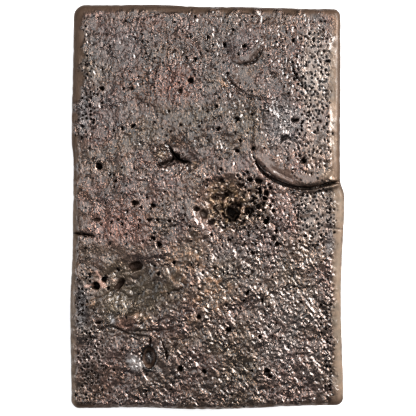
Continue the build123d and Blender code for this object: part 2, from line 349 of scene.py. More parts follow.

# %% [markdown]
# Cracks and creases are sharp grooves. The last number of each says how black the painted shade inside it
# is, from 0 for a mere crease to 1 for an open crack.

# %% Cracks and creases
# pit: where painted shade makes the inside of a hole or crack dark
pit = np.zeros_like(x)  # 1 inside a hole, for the dark of its depth
cracks = (  # (spots, half width, depth, how black)
    (((123, 204), (149, 207), (171, 202), (200, 192), (251, 184), (291, 181)), 0.45, 0.6, 0.7),
    (((805, 858), (812, 838), (823, 819)), 0.55, 0.6, 0.5),
    (((820, 823), (841, 804), (856, 789), (878, 764)), 0.35, 0.45, 0.35),
    (((666, 623), (699, 596), (747, 572), (801, 557)), 0.45, 0.5, 0.8),
    (((367, 641), (382, 623), (364, 609)), 1.0, 1.4, 1.0),
    (((389, 623), (349, 609), (313, 601)), 0.9, 1.2, 0.9),
    (((378, 621), (415, 615), (444, 609)), 0.9, 1.1, 0.9),
    (((295, 179), (291, 154)), 0.6, 0.9, 0.6),
    (((327, 181), (346, 152), (353, 132), (349, 110)), 0.4, 0.6, 0.4),
    (((761, 653), (772, 668), (790, 673), (805, 663)), 0.8, 0.7, 0.6),
    (((604, 777), (674, 769), (721, 764)), 0.8, 0.4, 0.0),
    (((491, 349), (546, 312), (594, 270)), 0.9, 0.35, 0.0),
    (((284, 241), (346, 256), (400, 241)), 0.8, 0.35, 0.0),
    (((291, 362), (331, 340), (349, 307)), 0.9, 0.45, 0.2),
    (((189, 196), (327, 194), (411, 206)), 1.3, 0.5, 0.2),
    (((1, 436), (47, 435), (94, 428)), 0.5, 0.6, 0.9),
    (((918, 451), (954, 448), (995, 446)), 0.35, 0.4, 0.7),
)
for spots, half_width, depth, black in cracks:
    groove, inside = crack(spots, half_width, depth)
    relief += groove
    pit = np.maximum(pit, black * fade(inside, 0.1, 0.6))
print(len(cracks), "cracks and creases")

# %% [markdown]
# Beside the star-shaped pit the skin was dragged into fans of fine pleats. Pleats are waves whose crests
# all point at one spot, so their height depends on the direction seen from there.

# %% Pleated fans
def fan(spot, apex, reach_x, reach_y, turn, pleats, height):
    """Pleats inside an oval that all point at an apex."""
    apex_x, apex_y = in_mm(*apex)
    direction = np.arctan2(y - apex_y, x - apex_x) + 0.16 * lumps(1.8, 61)
    waves = 1 - 2 * np.abs(np.sin(direction * pleats / 2))
    inside = patch(spot, reach_x, reach_y, turn, 0.5)
    return inside, waves * height


for fan_values in (  # (middle, apex, half width, half height, turn, pleats, height)
    ((335, 631), (408, 641), 5.4, 4.0, 20, 26, 0.42),
    ((448, 611), (393, 621), 3.2, 4.2, -10, 20, 0.34),
    ((116, 596), (112, 586), 2.6, 3.6, 0, 9, 0.30),
):
    inside, waves = fan(*fan_values)
    relief = mix(relief, waves + 0.4 * relief, inside)
print("pleated fans set")

# %% [markdown]
# Where the skin tore a little, metal welled up through the tear and set as a thin raised line. Such
# veins come and go over the lower half. Noise is close to zero along thin winding lines, so keeping only
# those places gives a net of veins, and a second, slower noise rubs parts of it out.

# %% Thin raised veins
def veins(size, seed, lean=0.0):
    """Thin raised lines, about as far apart as that size in millimetres, that come and go."""
    u = x * math.cos(lean) - y * math.sin(lean) + 0.5 * size * lumps(size, seed + 1)
    v = x * math.sin(lean) + y * math.cos(lean) + 0.5 * size * lumps(size, seed + 2)
    line = np.clip(1 - 7 * np.abs(noise(u / size, v / (1.5 * size), seed)), 0, 1)
    return line * fade(lumps(1.7 * size, seed + 3), -0.25, 0.25)


vein_lines = np.maximum(veins(2.4, 63, 0.3), 0.8 * veins(1.5, 66, -0.4))
relief += (1 - rim) * mix(0.03, 0.18, fade(along, 0.55, 0.35)) * vein_lines
print("veins over", round(float((vein_lines > 0.2).mean()), 3), "of the grid")

# %% [markdown]
# The glassy patch at the lower left is a shrinkage hollow: large smooth facets that meet at soft edges,
# as where a crust caved in. The middle of the face has the opposite, a torn hollow full of broken
# crystals. Both come from many scattered points: each owns the part of the face that is nearest to it,
# and gives it a flat facet with a tilt of its own. Once they lie far apart and once close together.

# %% Facets and crystals
def facets(size, seed):
    """Flat facets: the height of a randomly tilted plane, one to a cell of about that size."""
    rng = np.random.default_rng(seed)
    u, v = x / size + 0.4 * lumps(size, seed + 1), y / size
    u0, v0 = np.floor(u).astype(int), np.floor(v).astype(int)
    offsets = rng.uniform(0, 1, (2, 64, 64))
    tilts = rng.uniform(-1, 1, (3, 64, 64))
    nearest = np.full_like(x, 1e9)
    height = np.zeros_like(x)
    for i in (-1, 0, 1):
        for j in (-1, 0, 1):
            a, b = (u0 + i) % 64, (v0 + j) % 64
            du = u - (u0 + i + offsets[0, a, b])
            dv = v - (v0 + j + offsets[1, a, b])
            d = du * du + dv * dv
            closer = d < nearest
            nearest = np.where(closer, d, nearest)
            plane = tilts[0, a, b] * du + tilts[1, a, b] * dv + 0.5 * tilts[2, a, b]
            height = np.where(closer, plane, height)
    return height


# %% [markdown]
# The glassy hollow takes the wide facets and the middle of the face takes the tight ones. Both are sunk a
# little under the skin around them.

# %% Glassy hollow and torn middle
glassy = np.maximum(patch((229, 293), 18, 12, -5, 0.5), patch((371, 300), 7.5, 8, 0, 0.5))
glassy = np.maximum(glassy, 0.7 * patch((200, 221), 11, 6, -8, 0.5))
plates = 0.75 * blur(facets(3.4, 71), 0.2) + 0.30 * vein_lines + 0.22 * facets(1.4, 73)
relief = mix(relief, 0.30 * relief + 0.8 * plates, glassy)
relief -= 0.5 * patch((225, 300), 18, 11, -5, 0.9)

torn = np.maximum(patch((583, 493), 10.5, 9.5, 20, 0.6), 0.8 * patch((553, 527), 8, 7, 0, 0.6))
torn = np.maximum(torn, 0.6 * patch((685, 517), 6, 9, 0, 0.7))
shards = 1.3 * blur(facets(2.0, 75), 0.06) + 0.7 * facets(0.9, 77) + 0.25 * vein_lines
relief = mix(relief, 0.5 * relief + shards, torn)
relief -= 0.4 * patch((590, 498), 12, 11, 20, 1.0)
print("torn crystals over", round(float((torn > 0.5).mean()), 3), "of the grid")

# %% [markdown]
# A torn hollow is an oval whose edge is pushed in and out by small facets. The low swellings beside the
# glassy hollow and round the eye-shaped blister are plain soft ovals.

# %% Ragged ovals and swellings
edge_noise = 0.9 * facets(1.3, 91) + 0.35 * lumps(0.6, 92)


def cavity(spot, reach_x, reach_y, turn, depth, ragged):
    """How far inside a ragged hole each grid point is, from 0 to 1, and how much it sinks there."""
    away = oval(spot, reach_x, reach_y, turn) + ragged * edge_noise
    return fade(away, 1.0, 0.75), -depth * fade(away, 1.05, 0.55)


relief += 0.5 * patch((207, 216), 6.0, 3.8, -8, 0.35) + 0.45 * patch((322, 337), 3.4, 3.0, 0, 0.7)
relief += 0.35 * patch((240, 115), 4.2, 4.5, 20, 0.8)
print("relief from", round(float(relief.min()), 2), "to", round(float(relief.max()), 2), "mm")

# %% [markdown]
# ## Gas holes
#
# Copper takes up gas when molten and gives it back as it sets, so the face is full of small round holes.
# A few stand alone and a bed of pinholes runs down the right side. A hole is a dimple with a slightly
# raised, bright lip, pressed into the map at its own spot. The loose ones are scattered in ovals, with a
# fixed seed.

# %% Gas holes
lip = np.zeros_like(x)  # 1 on a hole's worn edge
luck = np.random.default_rng(7)


def hole(middle_x, middle_y, radius, depth, lip_height=0.06, squash=1.0, turn=0.0, worn=0.5):
    """Presses one hole into the map. All in millimetres, at a place in millimetres."""
    reach = 2.2 * radius / min(squash, 1)
    c0 = max(int(((middle_x - reach) * mm - low.x) / cell), 0)
    c1 = min(int(((middle_x + reach) * mm - low.x) / cell) + 2, columns)
    r0 = max(int(((middle_y - reach) * mm - low.y) / cell), 0)
    r1 = min(int(((middle_y + reach) * mm - low.y) / cell) + 2, rows)
    if c1 <= c0 or r1 <= r0:
        return
    dx, dy = x[r0:r1, c0:c1] - middle_x, y[r0:r1, c0:c1] - middle_y
    u, v = turned(dx, dy, turn)
    v = v / squash
    away = np.hypot(u, v) / radius
    around = np.arctan2(v, u)
    away *= 1 + 0.16 * np.cos(2 * around + middle_x) + 0.10 * np.cos(3 * around + 2 * middle_y)
    inside = fade(away, 1.05, 0.60)
    thin = min(0.28, 0.16 / radius)
    ring = np.exp(-(((away - 1 - thin) / thin) ** 2))
    relief[r0:r1, c0:c1] += lip_height * ring - depth * inside
    pit[r0:r1, c0:c1] = np.maximum(pit[r0:r1, c0:c1], fade(away, 1.0, 0.7))
    lip[r0:r1, c0:c1] = np.maximum(lip[r0:r1, c0:c1], worn * ring)


# %% [markdown]
# Most holes are scattered over ovals, small ones more often than large ones. One that would touch another
# is left out, and so are most of those that fall on the smooth rim.

# %% Scattered holes
smallest_gap = 0.15  # millimetres of skin left between two holes
kept_on_rim = 0.12  # share of the holes on the rim that stay
# (middle, half width, half height, how many, smallest and largest radius, how worn), in millimetres
pore_fields = (
    ((889, 833), 6.6, 20.5, 120, 0.34, 0.56, 0.5),
    ((849, 875), 9.5, 12.0, 40, 0.34, 0.52, 0.5),
    ((889, 665), 7.0, 13.0, 60, 0.40, 0.60, 0.5),
    ((838, 616), 8.5, 7.0, 30, 0.38, 0.60, 0.5),
    ((885, 463), 8.5, 11.0, 70, 0.40, 0.60, 0.5),
    ((699, 520), 5.5, 9.5, 42, 0.45, 0.85, 0.5),
    ((583, 552), 12.0, 6.5, 26, 0.35, 0.65, 0.5),
    ((619, 394), 14.0, 11.0, 26, 0.35, 0.60, 0.4),
    ((54, 858), 3.6, 19.0, 70, 0.22, 0.40, 0.3),
    ((58, 678), 4.2, 18.0, 46, 0.24, 0.45, 0.3),
    ((98, 117), 6.5, 14.0, 95, 0.24, 0.50, 0.3),
    ((357, 838), 32.0, 20.0, 60, 0.26, 0.55, 0.3),
    ((200, 505), 17.0, 14.0, 34, 0.28, 0.60, 0.3),
    ((309, 456), 14.0, 9.0, 16, 0.35, 0.70, 0.3),
    ((491, 641), 16.0, 16.0, 26, 0.30, 0.60, 0.3),
    ((637, 246), 30.0, 26.0, 110, 0.26, 0.55, 0.35),
    ((943, 184), 2.0, 24.0, 90, 0.20, 0.36, 0.3),
    ((473, 26), 42.0, 1.8, 90, 0.20, 0.36, 0.3),
    ((291, 60), 24.0, 6.0, 40, 0.22, 0.42, 0.3),
)
placed = [(0.0, 0.0, 0.0)]  # places and radii of the holes so far, with one at the middle to begin
count = 0
for spot, reach_x, reach_y, how_many, smallest, largest, worn in pore_fields:
    middle_x, middle_y = in_mm(*spot)
    for _ in range(how_many):
        out, around = math.sqrt(luck.uniform()), luck.uniform(0, 2 * math.pi)
        radius = smallest + (largest - smallest) * luck.uniform() ** 1.8
        hole_x = middle_x + reach_x * out * math.cos(around)
        hole_y = middle_y + reach_y * out * math.sin(around)
        r = min(max(int((hole_y * mm - low.y) / cell), 0), rows - 1)
        c = min(max(int((hole_x * mm - low.x) / cell), 0), columns - 1)
        keep, squash, turn = luck.uniform(), luck.uniform(0.7, 1.0), luck.uniform(0, math.pi)
        others = np.array(placed)
        gaps = np.hypot(others[:, 0] - hole_x, others[:, 1] - hole_y) - others[:, 2] - radius
        if gaps.min() < smallest_gap or (rim[r, c] > 0.6 and keep > kept_on_rim):
            continue
        placed.append((hole_x, hole_y, radius))
        hole(hole_x, hole_y, radius, 1.6 * radius, 0.12 * radius, squash, turn, worn)
        count += 1
print(count, "scattered holes")

# %% [markdown]
# The larger holes, which catch the eye, are placed one by one.

# %% Lone holes
# (spot, radius, depth, squash, turn in degrees, how worn), in millimetres
lone_holes = (
    ((404, 104), 1.05, 1.6, 0.75, 90, 0.8), ((488, 95), 0.95, 1.4, 0.6, 10, 0.4),
    ((716, 98), 1.00, 1.6, 1.0, 0, 0.5), ((728, 84), 0.90, 1.3, 0.8, 30, 0.5),
    ((574, 199), 0.90, 1.4, 0.7, 80, 0.4), ((469, 231), 0.90, 1.2, 0.8, 0, 0.4),
    ((690, 181), 0.80, 1.2, 0.9, 0, 0.4), ((380, 364), 0.95, 1.4, 0.6, 30, 0.5),
    ((304, 423), 0.95, 1.5, 0.8, 0, 0.3), ((327, 406), 1.05, 1.6, 0.6, 10, 0.3),
    ((191, 458), 0.60, 1.0, 1.0, 0, 0.3), ((287, 468), 0.75, 1.1, 0.8, 0, 0.3),
    ((712, 464), 1.05, 1.8, 0.9, 0, 0.5), ((750, 441), 0.70, 1.1, 1.0, 0, 0.5),
    ((752, 409), 0.95, 1.5, 0.9, 0, 0.5), ((665, 386), 0.75, 1.1, 0.9, 0, 0.4),
    ((439, 811), 1.45, 1.6, 0.55, 5, 0.5), ((400, 789), 1.00, 1.0, 0.5, 15, 0.2),
    ((118, 791), 0.90, 1.2, 0.9, 0, 0.3), ((196, 791), 0.60, 0.9, 0.8, 0, 0.3),
    ((225, 791), 0.85, 1.1, 0.6, 0, 0.3), ((457, 863), 0.75, 1.1, 0.9, 0, 0.3),
    ((502, 917), 0.65, 1.0, 0.8, 0, 0.3), ((563, 899), 0.80, 1.3, 1.0, 0, 0.4),
    ((634, 895), 0.90, 1.4, 0.7, 0, 0.4), ((612, 875), 0.60, 0.9, 1.0, 0, 0.4),
    ((594, 935), 0.60, 1.0, 0.8, 20, 0.3), ((812, 909), 0.80, 1.2, 0.8, 0, 0.4),
    ((823, 714), 0.95, 1.3, 0.6, 0, 0.4), ((532, 747), 0.75, 1.1, 0.8, 30, 0.4),
    ((612, 715), 0.75, 1.2, 0.6, 80, 0.3), ((539, 691), 0.75, 1.2, 1.0, 0, 0.3),
    ((619, 663), 0.65, 1.0, 0.8, 0, 0.3), ((404, 702), 0.65, 1.0, 0.7, 0, 0.3),
    ((231, 699), 1.05, 1.4, 0.6, 40, 0.4), ((192, 693), 0.60, 0.9, 1.0, 0, 0.3),
    ((109, 598), 0.85, 1.2, 0.75, 20, 0.3), ((167, 564), 0.80, 1.1, 0.6, 20, 0.2),
    ((240, 510), 1.25, 1.4, 0.8, 20, 0.9), ((307, 504), 0.90, 1.3, 0.6, 10, 0.3),
    ((100, 469), 1.20, 1.3, 0.7, 0, 0.6), ((152, 462), 0.55, 0.9, 1.0, 0, 0.3),
    ((666, 644), 0.90, 1.3, 0.7, 60, 0.3), ((608, 638), 0.95, 1.2, 0.8, 10, 0.5),
    ((852, 614), 0.95, 1.3, 0.9, 0, 0.6), ((655, 567), 1.00, 1.7, 0.9, 0, 0.6),
    ((692, 537), 0.95, 1.6, 0.9, 0, 0.6), ((710, 520), 0.90, 1.5, 0.9, 0, 0.6),
    ((685, 502), 0.95, 1.6, 1.0, 0, 0.6), ((728, 547), 0.75, 1.3, 1.0, 0, 0.6),
    ((141, 300), 0.70, 1.3, 0.9, 0, 1.0), ((105, 216), 1.10, 1.2, 0.6, 10, 0.4),
    ((175, 346), 0.70, 1.2, 1.0, 0, 0.5), ((322, 335), 0.80, 1.2, 0.9, 0, 0.5),
    ((645, 290), 1.10, 1.3, 0.5, 60, 0.7), ((699, 270), 1.00, 1.2, 0.55, 80, 0.7),
    ((583, 199), 0.9, 1.2, 0.6, 80, 0.4), ((23, 38), 0.60, 1.0, 1.0, 0, 0.3),
)
for spot, radius, depth, squash, turn, worn in lone_holes:
    hole(*in_mm(*spot), radius, depth, 0.06, squash, math.radians(turn), worn)
    count += 1
print(count, "holes with the lone ones")

# %% [markdown]
# Last come the hollows with torn edges, wider than a gas hole: the pit in the middle of the face with its
# side pockets, the star-shaped pit, and those at the lower left.

# %% Torn hollows
# (spot, half width, half height, turn in degrees, depth, how ragged, how black the painted shade inside is)
for spot, reach_x, reach_y, turn, depth, ragged, black in (
    ((590, 485), 3.6, 3.4, 20, 2.6, 0.75, 1.0), ((570, 531), 2.6, 1.7, 20, 1.6, 0.8, 0.9),
    ((528, 525), 1.5, 1.1, 60, 1.2, 0.7, 0.6), ((650, 489), 1.6, 1.6, 0, 1.4, 0.7, 0.9),
    ((619, 510), 1.0, 1.5, 30, 1.2, 0.7, 0.5), ((550, 502), 1.1, 1.6, -20, 1.1, 0.7, 0.5),
    ((626, 463), 1.7, 0.8, 20, 1.1, 0.6, 0.6),
    ((240, 354), 2.7, 1.5, 12, 1.2, 0.3, 0.6), ((180, 308), 2.8, 1.0, 40, 1.2, 0.25, 0.7),
    ((389, 622), 2.1, 1.2, -40, 2.4, 0.35, 1.0),
    ((97, 306), 1.5, 1.4, 0, 2.2, 0.4, 1.0), ((127, 323), 1.2, 1.0, 40, 2.0, 0.5, 1.0),
    ((462, 495), 1.2, 0.9, 0, 1.0, 0.5, 0.7), ((517, 463), 1.4, 1.0, 30, 0.9, 0.5, 0.7),
    ((553, 564), 1.1, 0.9, 0, 1.0, 0.5, 0.8), ((619, 552), 1.2, 1.0, 0, 1.1, 0.5, 0.8),
    ((685, 564), 1.1, 1.0, 0, 1.3, 0.3, 1.0), ((714, 535), 1.2, 1.1, 0, 1.3, 0.3, 1.0),
):
    inside, sunk = cavity(spot, reach_x, reach_y, turn, depth, ragged)
    relief += sunk
    pit = np.maximum(pit, black * inside)
    lip = np.maximum(lip, 0.5 * fade(np.abs(inside - 0.12), 0.12, 0.0))
    count += 1
print(count, "holes and hollows")

# %% [markdown]
# ## Pressing the map into the casting
#
# The CAD mesh has long thin triangles that can't bend. A voxel remesh first turns it into an even skin
# of small squares, and a few rounds of smoothing take away the steps that this leaves.

# %% Fine mesh of the casting
voxel = 0.30 * mm
ingot = bpy.data.objects.new("copper_ingot", cad.data.copy())
bpy.context.scene.collection.objects.link(ingot)
remesh = ingot.modifiers.new("even skin", "REMESH")
remesh.mode = "VOXEL"
remesh.voxel_size = voxel
soften = ingot.modifiers.new("soften", "SMOOTH")
soften.factor = 0.5
soften.iterations = 3


def bake_modifiers(thing):
    """Makes what the modifiers show the object's own mesh."""
    shown = thing.evaluated_get(bpy.context.evaluated_depsgraph_get())
    mesh = bpy.data.meshes.new_from_object(shown)
    thing.modifiers.clear()
    thing.data = mesh
    return mesh


mesh = bake_modifiers(ingot)
print("remeshed to", len(mesh.vertices), "corners")

# %% [markdown]
# Then the corners are moved. Those that look up follow the map, straight up or down. Those on the mould
# side get only faint ripples from the pour, most of them pressed inwards. What would still leave the
# casting's own box is held at its faces.

# %% Moving the corners
def sample(field, points):
    """The map's value under each point."""
    return between(field, (points[:, 1] - low.y) / cell, (points[:, 0] - low.x) / cell)


def read(mesh, what):
    """The places or the normals of all corners, three numbers each."""
    values = np.empty(len(mesh.vertices) * 3)
    source = mesh.vertices if what == "co" else mesh.vertex_normals
    source.foreach_get("co" if what == "co" else "vector", values)
    return values.reshape(-1, 3)


points = read(mesh, "co")
normals = read(mesh, "normal")
upward = fade(normals[:, 2], 0.25, 0.75) * fade(points[:, 2], high.z - 8 * mm, high.z - 4 * mm)
girth = (points[:, 0] + points[:, 1]) / mm
level = points[:, 2] / mm
ripples = 0.10 * noise(girth / 14, level / 1.6 + 0.8 * noise(girth / 9, level / 6, 82), 81)
ripples += 0.05 * noise(girth / 2.2, level / 2.2, 83)
side = 1 - fade(np.abs(normals[:, 2]), 0.5, 0.9)
moved = points.copy()
moved[:, 2] += upward * sample(relief, points) * mm
carve = np.maximum(ripples, -0.05) + 0.22 * np.maximum(noise(girth / 3.5, level / 9, 84), 0)
moved -= normals * (side * carve)[:, None] * mm


def keep_in_box(mesh, places):
    """Gives the mesh those places, none of them outside the casting's own box."""
    mesh.vertices.foreach_set("co", np.clip(places, list(low), list(high)).ravel())
    mesh.update()


keep_in_box(mesh, moved)
print("moved by up to", round(float(np.abs(moved - points).max() / mm), 2), "mm")

# %% [markdown]
# ## A lighter mesh
#
# The even skin has far more triangles than its shape needs. The decimate modifier merges the flattest ones
# first, so small ones stay in the wrinkles and few are spent on the flat underside. It may push a corner
# out by a hair, so all are kept in the box once more. The new mesh then stands for the CAD solid in the
# picture.

# %% Thinning the mesh
most_faces = 190_000
triangles = len(mesh.loops) - 2 * len(mesh.polygons)
if triangles > most_faces:
    thin = ingot.modifiers.new("thin", "DECIMATE")
    thin.ratio = most_faces / triangles
    thin.use_collapse_triangulate = True
    mesh = bake_modifiers(ingot)
    keep_in_box(mesh, read(mesh, "co"))
print("from", triangles, "to", len(mesh.loops) - 2 * len(mesh.polygons), "triangles")
mesh.polygons.foreach_set("use_smooth", np.ones(len(mesh.polygons), bool))
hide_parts("ingot")
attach(ingot, "root")

# %% [markdown]
# ## Where the colours go
#
# The colour of old copper follows its shape: painted shade darkens the hollows, bright metal shows on worn
# edges, and slow patches of brown, grey and olive oxide lie over all of it, with some patches of painted
# shade and painted highlight among them. The shapes are known from the map, so each corner of the mesh is
# told how deep it lies, how worn it is, and which oxide, painted shade and painted highlight it has. The
# material only has to turn those numbers into colour.

# %% Depth under the skin
cad_mesh = cad.data
places = [vertex.co for vertex in cad_mesh.vertices]
casting_tree = BVHTree.FromPolygons(places, [face.vertices for face in cad_mesh.polygons])
above = high.z + 1 * mm
ground = np.empty_like(coarse)
for i, gy in enumerate(grid_y[::step]):
    for j, gx in enumerate(grid_x[::step]):
        spot = casting_tree.ray_cast((gx, gy, above), (0, 0, -1))[0]
        ground[i, j] = (spot.z if spot else high.z - 3 * mm) / mm
surface = from_coarse(ground) + relief
around = blur(surface, 1.1)
points = read(mesh, "co")
normals = read(mesh, "normal")
looks_up = fade(normals[:, 2], -0.1, 0.4) * fade(points[:, 2], high.z - 9 * mm, high.z - 7 * mm)
# how far each corner lies under the blurred skin round it, for the painted shade in the hollows
deep = (sample(around, points) - points[:, 2] / mm) * looks_up
print("deepest", round(float(deep.max()), 2), "mm under the skin around it")

# %% [markdown]
# A few marks need a shape of their own: the outline of the eye-shaped blister, the little star of fresh
# copper, and the seams under the tongue, which get black painted shade.

# %% Shapes for the marks
def mark(name, values):
    """Stores one number for each corner of the mesh under a name that the material can read."""
    values = np.asarray(values, dtype=np.float32)
    mesh.attributes.new(name, "FLOAT", "POINT").data.foreach_set("value", values)


def spots_of(*patches):
    """The highest of several soft ovals, each given as how much and then as for patch."""
    return np.max([share * patch(*where) for share, *where in patches], axis=0)


eye_share = oval((288, 129), 2.75, 4.4)  # 1 on the outline of the eye-shaped blister
mottle = 0.75 + 0.6 * lumps(3.2, 95) + 0.3 * lumps(1.3, 96)
line_end, _ = line_distance(((58, 305), (98, 307), (134, 322)))
line_up, _ = line_distance(((98, 342), (120, 320)))
star = np.maximum(fade(line_end, 0.7, 0.2), fade(line_up, 0.6, 0.2))
under_tongue, _ = line_distance((
    (699, 920), (692, 898), (674, 878), (652, 858), (623, 849), (594, 856),
))
under_step, _ = line_distance(((553, 814), (583, 799), (612, 785), (630, 774)))
# seams: painted shade, black lines under the tongue's lip and under the step below it
seams = np.maximum(0.85 * fade(under_tongue, 0.50, 0.12), 0.60 * fade(under_step, 0.40, 0.10))
print("star of", int((star > 0.5).sum()), "grid points")

# %% [markdown]
# The patches of oxide, and those of painted shade and painted highlight, are soft ovals again, each with
# how strong it is, its middle, its half sizes, how far it is turned and how soft its edge is.

# %% Patches of oxide, painted shade and painted highlight
shades = {
    "olive": np.clip(mottle, 0, 1) * spots_of(
        (1.0, (229, 293), 21, 14, -5, 0.6), (1.0, (371, 295), 9, 10, 0, 0.7),
        (0.8, (575, 505), 13, 12, 20, 0.8),
        (0.7, (459, 406), 9, 10, 0, 0.8), (0.6, (564, 364), 8, 6, 0, 0.8), (0.5, (346, 740), 6, 4, 0, 0.8),
        (0.5, (382, 159), 14, 5, 20, 0.8), (0.5, (182, 394), 16, 4, 0, 0.8),
    ),
    "blue": spots_of(
        (1.0, (50, 735), 3.6, 13, 0, 0.8), (0.9, (772, 702), 10, 14, 0, 0.9),
        (0.9, (947, 419), 3.5, 12, 0, 0.9),
        (1.0, (43, 251), 4.0, 13, 0, 0.8), (0.7, (965, 789), 2.5, 20, 0, 0.9),
        (1.0, (889, 967), 4.0, 2.0, -20, 0.8),
    ),
    "cool": spots_of(
        (1.0, (174, 893), 19, 16, 0, 0.9), (0.8, (127, 740), 13, 16, 0, 0.9),
        (0.7, (601, 900), 14, 12, 0, 0.9),
        (0.6, (145, 456), 14, 18, 0, 0.9), (0.6, (674, 406), 16, 12, 0, 0.9),
        (0.5, (218, 147), 20, 9, 0, 0.9),
    ),
    "pink": spots_of(
        (1.0, (382, 801), 14, 14, 0, 0.9), (0.9, (182, 456), 20, 13, 0, 0.9),
        (0.7, (207, 216), 6, 4, 0, 0.6),
    ),
    # bright: painted sheen, silvery colour laid where the glints gather
    "bright": spots_of(
        (0.7, (783, 702), 12, 16, 0, 0.9), (0.8, (801, 196), 22, 28, 0, 0.9),
        (0.7, (903, 814), 6, 26, 0, 0.9),
        (0.7, (583, 344), 16, 14, 0, 0.9),
    ),
    # pale: whitish patches; the largest, beside the eye-shaped blister, is a painted highlight where that
    # slope faces the window
    "pale": spots_of(
        (1.0, (236, 117), 3.2, 5.2, 35, 0.6), (0.9, (156, 226), 1.4, 3.0, 20, 0.7),
        (0.7, (470, 340), 2, 3, 0, 0.8),
    ),
    "porous": spots_of(
        (1.0, (882, 801), 8.5, 25, 0, 0.5), (1.0, (889, 488), 10, 16, 0, 0.6),
        (1.0, (79, 110), 7, 16, 0, 0.6),
        (0.7, (50, 270), 5, 16, 0, 0.6), (0.6, (58, 789), 5, 30, 0, 0.6), (0.8, (943, 184), 3, 26, 0, 0.6),
        (0.6, (619, 480), 16, 18, 0, 0.8),
    ),
    "dark": spots_of(
        (0.4, (579, 498), 13, 12, 20, 0.9), (0.9, (488, 483), 3.0, 2.6, 0, 0.6),
        (0.6, (254, 295), 26, 16, 0, 0.8), (0.5, (437, 85), 40, 14, 0, 0.9),
        (0.5, (43, 246), 4.5, 16, 0, 0.8), (0.8, (889, 967), 4.0, 2.0, -20, 0.8),
    ),
    # shaded: painted shade, a broad darkening over the upper middle and the middle of the face
    "shaded": spots_of((1.0, (564, 801), 60, 42, 0, 0.6), (0.6, (419, 480), 40, 20, 0, 0.9)),
    "gold": spots_of(
        (1.0, (594, 527), 6, 4, 0, 0.8), (1.0, (557, 806), 3.6, 1.8, -45, 0.7),
        (0.9, (262, 231), 4.5, 2.4, -10, 0.6),
        (0.9, (517, 295), 12, 14, 0, 0.8), (0.8, (583, 505), 13, 12, 20, 0.7),
        (0.8, (342, 288), 1.8, 1.4, 0, 0.6),
        (0.7, (444, 226), 5, 3, 0, 0.8), (0.6, (83, 265), 4, 3, 0, 0.8), (0.8, (419, 364), 14, 12, 0, 0.8),
    ),
    "copper_star": np.maximum(star, patch((116, 310), 2.4, 1.6, -30, 0.5)),
    "earth": spots_of(
        (0.9, (240, 354), 3.2, 2.0, 12, 0.4), (0.9, (182, 307), 3.2, 1.6, 40, 0.4),
        (0.9, (488, 484), 3, 3, 0, 0.4), (0.4, (98, 102), 8, 15, 0, 0.9),
        (0.8, (240, 510), 1.8, 1.6, 0, 0.4),
        (0.8, (100, 469), 1.8, 1.4, 0, 0.4), (0.8, (400, 789), 1.8, 1.2, 0, 0.4),
        (0.7, (561, 517), 11, 9, 20, 0.6),
    ) * (1 - patch((590, 483), 3.4, 3.2, 20, 0.4)),
    "shard": np.maximum(
        torn * fade(facets(1.6, 79) + 0.3 * lumps(0.7, 98), 0.15, 0.35),
        0.6 * spots_of((1.0, (335, 631), 3.0, 2.6, 20, 0.8), (1.0, (451, 606), 1.8, 2.2, 0, 0.8)) * mottle,
    ),
    "eye_tan": fade(np.abs(eye_share - 0.72), 0.18, 0.06) * (0.75 + 0.5 * lumps(0.9, 97)),
    # eye_dark: painted shade, a black outline round the eye-shaped blister and a dark middle in it
    "eye_dark": np.maximum(fade(np.abs(eye_share - 1.02), 0.20, 0.08), 0.8 * fade(eye_share, 0.55, 0.25)),
    # tan: painted highlight, a lighter band on the right rim and at the right end of the large lap, where
    # they face the window; the streak low on the left edge is tan oxide
    "tan": np.max([
        0.75 * fade(np.abs(across - 0.955), 0.024, 0.0) * fade(along, 0.56, 0.66) * fade(along, 0.94, 0.85),
        fade(across + 0.012 * noise(x / 2, y / 3, 99), 0.948, 0.970) * fade(from_edge, 0.2, 1.2)
        * fade(along, 0.57, 0.52) * fade(along, 0.01, 0.06),
        0.8 * patch((933, 579), 5, 2.5, 20, 0.8),
        0.7 * fade(across, 0.03, 0.012) * fade(along, 0.62, 0.5),
    ], axis=0),
    "rolled": np.maximum(calm, spots_of(
        (0.8, (608, 821), 1.6, 5.0, 0, 0.7), (0.8, (969, 801), 1.5, 24, 0, 0.7),
    )),
    "pore_walls": spots_of(
        (1.0, (889, 826), 6.5, 22, 0, 0.5), (0.5, (892, 665), 5.5, 12, 0, 0.6),
        (0.7, (885, 480), 8, 13, 0, 0.6),
    ),
}
print(len(shades), "kinds of oxide")

# %% [markdown]
# All marks are stored with the mesh. A few come straight from the shape: how deep, how worn, in a crease or
# on the rim. Only what looks up gets the others, as the mould side is plain.

# %% Storing the marks
opened = np.maximum(pit, seams)
# deep: painted shade, darker the deeper a corner lies, and black in holes, cracks and seams
mark("deep", np.clip(0.75 * fade(deep, 0.15, 1.10) + sample(opened, points) * looks_up, 0, 1))
mark("lower", sample(lower_right, points))
rub = fade(-deep, 0.08, 0.40) * (1 - sample(rim, points))
mark("worn", np.clip(0.6 * rub + sample(lip, points) * looks_up, 0, 1))
# crevice: painted shade in the creases, where the relief lies below its own blur
creased = blur(relief, 0.9) - relief
mark("crevice", sample(fade(creased, 0.0, 0.22), points) * looks_up)
mark("rim", np.maximum(sample(rim, points), 1 - looks_up))
for name, field in shades.items():
    mark(name, sample(field, points) * looks_up)
print("marks on", len(mesh.vertices), "corners")

# %% [markdown]
# ## The oxidised copper
#
# Brown oxide on copper is thin, so the piece still shines like metal, only darker. One metal shader does
# it: the base colour is the oxide, mixed from several browns by slow noise and by the marks, lighter
# where the metal is worn, with painted highlights in a few places and painted shade that makes the
# hollows dark and the holes almost black. Fine grain that is too small for the mesh comes as bump.

# %% Node helpers
copper = bpy.data.materials.new("oxidised_copper")
copper.use_nodes = True
tree = copper.node_tree
tree.nodes.clear()


